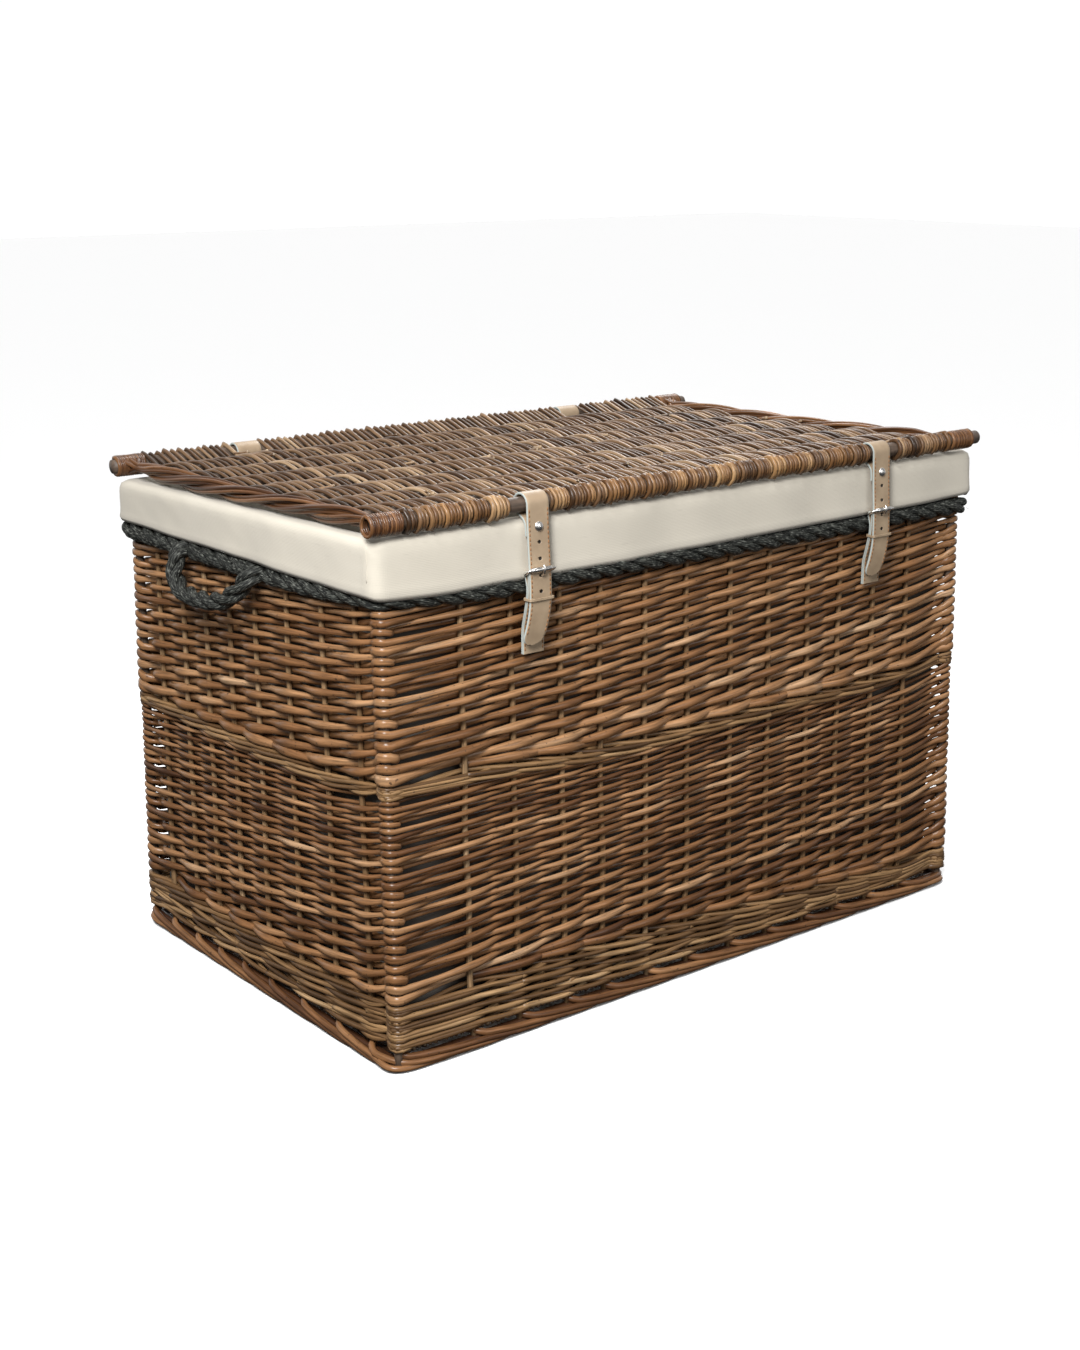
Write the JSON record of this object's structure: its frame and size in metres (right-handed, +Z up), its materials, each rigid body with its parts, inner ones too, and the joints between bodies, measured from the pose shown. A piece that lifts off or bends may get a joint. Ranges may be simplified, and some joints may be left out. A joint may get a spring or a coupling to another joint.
{
  "type": "wicker storage trunk",
  "caption": "Lined rectangular willow trunk with a hinged woven lid, leather hinges, buckled front straps and rope end handles.",
  "frame": {"origin": "on the floor under the middle of the body", "axes": "+X along the length, -Y to the front with the straps, +Z up"},
  "size_m": [0.8676, 0.517, 0.5452],
  "materials": {
    "willow": "stained willow rods, satin bark",
    "willow_grey": "thin weathered willow rods",
    "willow_lid": "weathered purple-brown willow rods",
    "stick": "bare willow sticks",
    "cotton": "plain-woven unbleached cotton",
    "rope": "three-strand charcoal fibre rope",
    "leather": "smooth tan leather, stitched edges",
    "nickel": "bright nickel plate"
  },
  "bodies": {
    "basket": {"foot_border": "willow", "bottom_wale": "willow_grey", "lower_weave": "willow", "mid_wale": "willow_grey", "upper_weave": "willow", "top_border": "willow", "corner_post_front_left": "stick", "corner_post_front_right": "stick", "corner_post_back_left": "stick", "corner_post_back_right": "stick", "base_mat": "willow", "base_stick_1": "stick", "base_stick_2": "stick", "base_stick_3": "stick", "base_stick_4": "stick", "base_stick_5": "stick", "lining": "cotton", "rope_front": "rope", "rope_back": "rope", "rope_short_left": "rope", "rope_short_right": "rope", "handle_knot_left_front": "rope", "handle_knot_left_back": "rope", "handle_knot_right_front": "rope", "handle_knot_right_back": "rope", "hinge_leather_left": "leather", "hinge_leather_right": "leather", "hinge_rivet_left": "nickel", "hinge_rivet_right": "nickel", "chape_left": "leather", "chape_right": "leather", "chape_rivet_left": "nickel", "chape_rivet_right": "nickel", "keeper_left": "leather", "keeper_right": "leather"},
    "lid": {"lid_weave": "willow_lid", "lid_back_stick": "stick", "lid_front_stick": "stick", "lid_stick_1": "stick", "lid_stick_2": "stick", "lid_stick_3": "stick", "lid_stick_4": "stick", "lid_stick_5": "stick", "lid_stick_6": "stick", "lid_stick_7": "stick", "lid_end_border_left": "willow", "lid_end_border_right": "willow"},
    "strap_left": {"strap_left": "leather", "strap_rivet_left": "nickel"},
    "strap_right": {"strap_right": "leather", "strap_rivet_right": "nickel"},
    "buckle_left": {"buckle_frame_left": "nickel"},
    "buckle_right": {"buckle_frame_right": "nickel"},
    "roller_left": {"buckle_roller_left": "nickel"},
    "roller_right": {"buckle_roller_right": "nickel"},
    "prong_left": {"buckle_prong_left": "nickel"},
    "prong_right": {"buckle_prong_right": "nickel"},
    "handle_left": {"rope_handle_left": "rope"},
    "handle_right": {"rope_handle_right": "rope"}
  },
  "joints": [
    {"name": "lid_open", "type": "hinge", "parent": "basket", "child": "lid", "pos_m": [0, 0.2407, 0.5216], "axis": [-1, 0, 0], "range_deg": [0, 110]},
    {"name": "strap_left_swing", "type": "hinge", "parent": "lid", "child": "strap_left", "pos_m": [-0.228, -0.2407, 0.5317], "axis": [-1, 0, 0], "range_deg": [-74, 0]},
    {"name": "strap_right_swing", "type": "hinge", "parent": "lid", "child": "strap_right", "pos_m": [0.243, -0.2407, 0.5317], "axis": [-1, 0, 0], "range_deg": [-74, 0]},
    {"name": "buckle_left_swing", "type": "hinge", "parent": "basket", "child": "buckle_left", "pos_m": [-0.228, -0.2498, 0.467], "axis": [1, 0, 0], "range_deg": [0, 8]},
    {"name": "buckle_right_swing", "type": "hinge", "parent": "basket", "child": "buckle_right", "pos_m": [0.243, -0.2498, 0.467], "axis": [1, 0, 0], "range_deg": [0, 8]},
    {"name": "roller_left_spin", "type": "hinge", "parent": "buckle_left", "child": "roller_left", "pos_m": [-0.228, -0.2585, 0.472], "axis": [1, 0, 0], "continuous": true},
    {"name": "roller_right_spin", "type": "hinge", "parent": "buckle_right", "child": "roller_right", "pos_m": [0.243, -0.2585, 0.472], "axis": [1, 0, 0], "continuous": true},
    {"name": "prong_left_lift", "type": "hinge", "parent": "buckle_left", "child": "prong_left", "pos_m": [-0.228, -0.2498, 0.467], "axis": [1, 0, 0], "range_deg": [0, 10]},
    {"name": "prong_right_lift", "type": "hinge", "parent": "buckle_right", "child": "prong_right", "pos_m": [0.243, -0.2498, 0.467], "axis": [1, 0, 0], "range_deg": [0, 10]},
    {"name": "handle_left_lift", "type": "hinge", "parent": "basket", "child": "handle_left", "pos_m": [-0.412, 0.031, 0.4555], "axis": [0, 1, 0], "range_deg": [0, 100]},
    {"name": "handle_right_lift", "type": "hinge", "parent": "basket", "child": "handle_right", "pos_m": [0.412, 0.031, 0.4555], "axis": [0, -1, 0], "range_deg": [0, 100]}
  ],
  "couplings": [
    {"joint": "strap_left_swing", "follows": "lid_open", "ratio": -0.66},
    {"joint": "strap_right_swing", "follows": "lid_open", "ratio": -0.66}
  ]
}
